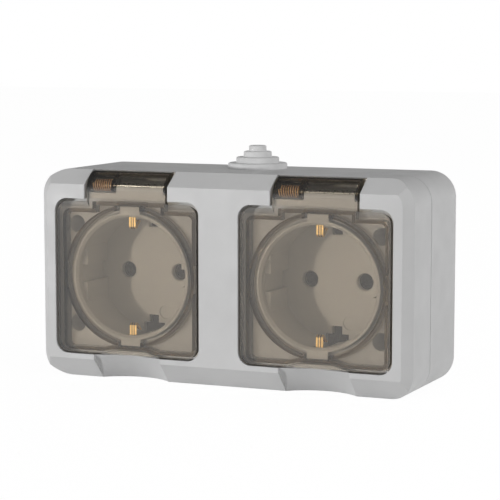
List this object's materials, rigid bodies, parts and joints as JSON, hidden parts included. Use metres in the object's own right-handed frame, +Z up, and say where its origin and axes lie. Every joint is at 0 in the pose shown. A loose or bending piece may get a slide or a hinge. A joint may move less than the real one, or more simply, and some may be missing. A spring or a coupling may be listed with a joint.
{
  "type": "outdoor weatherproof socket",
  "caption": "Surface-mounted weatherproof socket box with round earthed recesses behind sprung clear hinged lids and a stepped cable entry on top.",
  "frame": {"origin": "centre of the flat rear face that lies on the wall", "axes": "+X to the right as seen from the front, +Y into the wall, +Z up; the front faces -Y"},
  "size_m": [0.1296, 0.0446, 0.0768],
  "materials": {
    "housing": "fine texture, satin",
    "soft_seal": "soft, satin",
    "gasket": "soft, matte",
    "smoky_clear": "clear smoky plastic, gloss",
    "insert": "satin",
    "carrier": "matte",
    "brass": "plain",
    "steel": "plain",
    "copper_wire": "copper coloured wire"
  },
  "bodies": {
    "housing": {"base_box": "housing", "cover_gasket": "gasket", "cable_grommet": "soft_seal", "front_cover": "housing", "socket_seal_left": "gasket", "hinge_pin_left": "steel", "lid_spring_left": "copper_wire", "socket_insert_left": "insert", "contact_carrier_left": "carrier", "line_contact_left": "brass", "neutral_contact_left": "brass", "earth_contact_left": "brass", "line_terminal_screw_left": "steel", "neutral_terminal_screw_left": "steel", "earth_terminal_screw_left": "steel", "socket_seal_right": "gasket", "hinge_pin_right": "steel", "lid_spring_right": "copper_wire", "socket_insert_right": "insert", "contact_carrier_right": "carrier", "line_contact_right": "brass", "neutral_contact_right": "brass", "earth_contact_right": "brass", "line_terminal_screw_right": "steel", "neutral_terminal_screw_right": "steel", "earth_terminal_screw_right": "steel", "cover_screw_1": "steel", "insert_screw_1": "steel", "cover_screw_2": "steel", "insert_screw_2": "steel", "cover_screw_3": "steel", "insert_screw_3": "steel", "cover_screw_4": "steel", "insert_screw_4": "steel"},
    "lid_left_body": {"lid_left": "smoky_clear"},
    "lid_right_body": {"lid_right": "smoky_clear"}
  },
  "joints": [
    {"name": "lid_left_hinge", "type": "hinge", "parent": "housing", "child": "lid_left_body", "pos_m": [-0.0329, -0.04, 0.0296], "axis": [-1, 0, 0], "range_deg": [0, 100], "stiffness_Nm_per_rad": 0.006, "springref_deg": -34.38},
    {"name": "lid_right_hinge", "type": "hinge", "parent": "housing", "child": "lid_right_body", "pos_m": [0.0329, -0.04, 0.0296], "axis": [-1, 0, 0], "range_deg": [0, 100], "stiffness_Nm_per_rad": 0.006, "springref_deg": -34.38}
  ]
}
